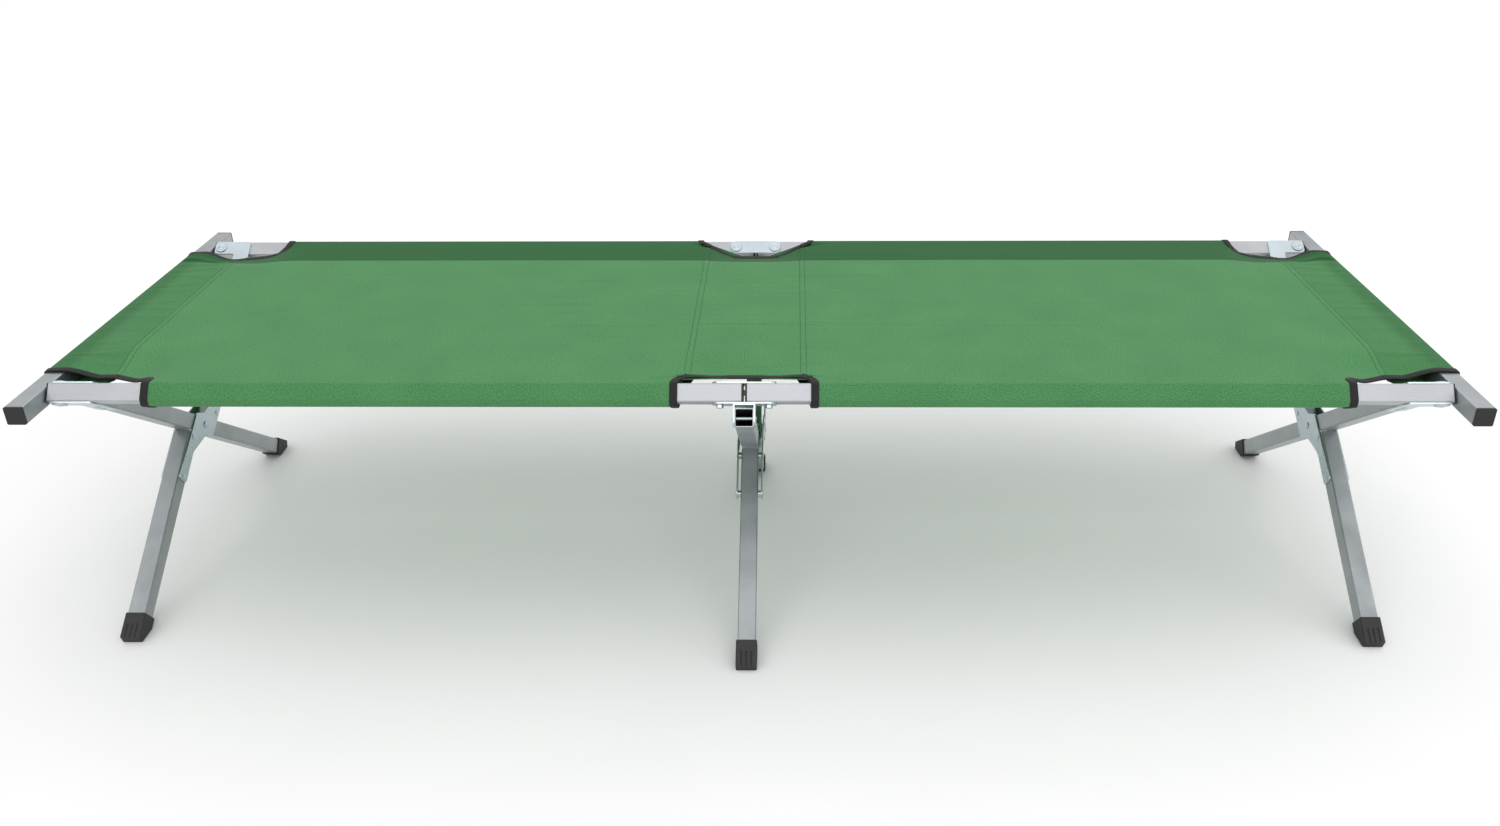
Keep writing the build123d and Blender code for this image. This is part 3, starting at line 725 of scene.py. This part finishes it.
# Clear-anodised side rails: paler, with drawing lines along the tube
rail_anodised = grained_material(
    "clear_anodised_aluminium", "#aeb0b4", "#bfc1c5", 0.7, 0.50, 0.02, stretch=(0.06, 1, 1), Metallic=0.85,
)
# Bright zinc plate with a blue passivate: sharp highlights and a faint cool mottling
zinc_plate = grained_material(
    "blue_passivated_zinc", "#b2bfc4", "#c5d1d6", 2.5, 0.30, 0.01, Metallic=0.95,
)
# Turned steel pins
turned_steel = grained_material("turned_steel", "#a9adb1", "#c6cacd", 0.8, 0.28, 0.01, Metallic=1.0)
# Moulded polypropylene end caps: nearly black, with the mould's fine spark texture
moulded_plug = grained_material("moulded_polypropylene", "#0c0c0e", "#161619", 0.9, 0.46, 0.04, IOR=1.49)
# Moulded rubber boots: dull black, a little dusty on the high spots
moulded_rubber = grained_material("moulded_rubber", "#19191b", "#303032", 1.6, 0.60, 0.06, IOR=1.52)
cloth_finish = woven_polyester()
tape_finish = grosgrain()
# Twisted polyester sewing thread in a darker green
thread_finish = grained_material("sewing_thread", "#17452a", "#28613b", 0.6, 0.7, 0.05)

# The first ending that a node's name has picks its finish
FINISHES = [
    ("boot", moulded_rubber),
    ("plugs", moulded_plug),
    ("pins", turned_steel),
    ("_rail", rail_anodised),
    ("_leg", tube_coat),
    ("end_bar", tube_coat),
]


def finish_for(name):
    """The material of a CAD node, by how its name ends.

    Plates, yokes, lugs, spacers, rivets, bolts and nuts have no ending of their own, and are zinc
    plated. So are the CAD cloth nodes, which the sewn cloth stands for.
    """
    for ending, material in FINISHES:
        if name.endswith(ending):
            return material
    return zinc_plate


def paint(piece, material):
    """Gives every material slot of a piece this material."""
    if not piece.material_slots:
        piece.data.materials.append(material)
    for slot in piece.material_slots:
        slot.material = material


for name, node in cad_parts.items():
    paint(node, finish_for(name))

cloth, cloth_area = build_cloth()
stitches = build_stitches()
tapes = [middle_binding("front_middle_binding", -1), middle_binding("rear_middle_binding", 1)]
for side_name, side in (("front", -1), ("rear", 1)):
    for hand_name, hand in (("left", -1), ("right", 1)):
        tapes.append(corner_binding(f"{side_name}_{hand_name}_corner_binding", hand, side))

paint(cloth, cloth_finish)
paint(stitches, thread_finish)
for tape in tapes:
    paint(tape, tape_finish)
for piece in (cloth, stitches, *tapes):
    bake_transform(piece)
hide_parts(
    "bed_sheet", "left_end_sleeve", "right_end_sleeve", "front_rail_sleeves", "rear_rail_sleeves",
)

# ---------------------------------------------------------------------------
# Floor, light and camera
# ---------------------------------------------------------------------------
def floor():
    """A plain pale floor, large enough to fill the view to its far edge."""
    reach = 14.0
    below = -0.3 * MM
    turns = np.array([(-1, -1), (1, -1), (1, 1), (-1, 1)])
    corners = np.column_stack([turns * reach, np.full(4, below)])
    piece = make_mesh("floor", corners, np.array([[0, 1, 2, 3]]))
    material, tree, shader = start_material("pale_floor", Roughness=0.9)
    place = add_node(tree, "ShaderNodeTexCoord")
    cloud = add_node(tree, "ShaderNodeTexNoise", {"Vector": place.outputs["Object"], "Scale": 3.0})
    colour = add_node(tree, "ShaderNodeMix", {
        0: cloud.outputs["Fac"], 6: linear("#f1f1f1"), 7: linear("#f6f6f6"),
    }, data_type="RGBA")
    tree.links.new(colour.outputs[2], shader.inputs["Base Color"])
    paint(piece, material)


def softbox(name, place, target, size, power):
    """A rectangular area light at place that shines at target; power is in watts."""
    light = bpy.data.lights.new(name, "AREA")
    light.shape = "RECTANGLE"
    light.size, light.size_y = size
    light.energy = power
    lamp = bpy.data.objects.new(name, light)
    lamp.location = place
    lamp.rotation_mode = "QUATERNION"
    lamp.rotation_quaternion = (Vector(target) - Vector(place)).to_track_quat("-Z", "Y")
    bpy.context.scene.collection.objects.link(lamp)


def studio():
    """Surroundings brighter overhead, soft lights in front, overhead and right, one over the far floor."""
    world = bpy.data.worlds.new("studio")
    world.use_nodes = True
    tree = world.node_tree
    way = add_node(tree, "ShaderNodeTexCoord")
    parts = add_node(tree, "ShaderNodeSeparateXYZ", {0: way.outputs["Generated"]})
    level = add_node(tree, "ShaderNodeMapRange", {
        "Value": parts.outputs["Z"], "From Min": 0.0, "From Max": 0.8, "To Min": 0.28, "To Max": 1.0,
    })
    tree.nodes["Background"].inputs["Color"].default_value = linear("#ffffff")
    tree.links.new(level.outputs[0], tree.nodes["Background"].inputs["Strength"])
    bpy.context.scene.world = world
    bpy.context.scene.view_settings.view_transform = "Standard"
    softbox(
        "front_softbox", place=(0.0, -3.2, 3.0), target=(0, 0, 0.35), size=(7.0, 1.4), power=62,
    )
    softbox(
        "overhead_softbox", place=(0.0, 0.6, 3.4), target=(0, 0.2, 0.3), size=(5.0, 2.0), power=10,
    )
    softbox(
        "right_softbox", place=(3.4, -0.4, 1.7), target=(0, 0, 0.3), size=(2.0, 1.6), power=12,
    )
    softbox(
        "backdrop_softbox", place=(0.0, 4.6, 3.6), target=(0, 4.6, 0), size=(12.0, 5.0), power=110,
    )


def camera():
    """The view from the front, above the bed: turned by yaw, tipped down by pitch and leaned by roll."""
    yaw, pitch, roll = -0.01846, 0.46801, -0.00777
    ahead = np.array([sin(yaw) * cos(pitch), cos(yaw) * cos(pitch), -sin(pitch)])
    right = np.array([cos(yaw), -sin(yaw), 0.0])
    up = np.cross(right, ahead)
    leaned_right = right * cos(roll) + up * sin(roll)
    leaned_up = up * cos(roll) - right * sin(roll)
    turn = Matrix(np.column_stack([leaned_right, leaned_up, -ahead]).tolist()).to_4x4()
    data = bpy.data.cameras.new("camera")
    data.sensor_width = 36.0
    data.lens = 29.63
    data.shift_x = -0.01626
    data.shift_y = -0.01764
    data.clip_end = 60.0
    eye = bpy.data.objects.new("camera", data)
    place = Vector((66.3 * MM, middle_y - 1716.1 * MM, 1111.6 * MM))
    eye.matrix_world = Matrix.Translation(place) @ turn
    bpy.context.scene.collection.objects.link(eye)
    bpy.context.scene.camera = eye


floor()
studio()
camera()
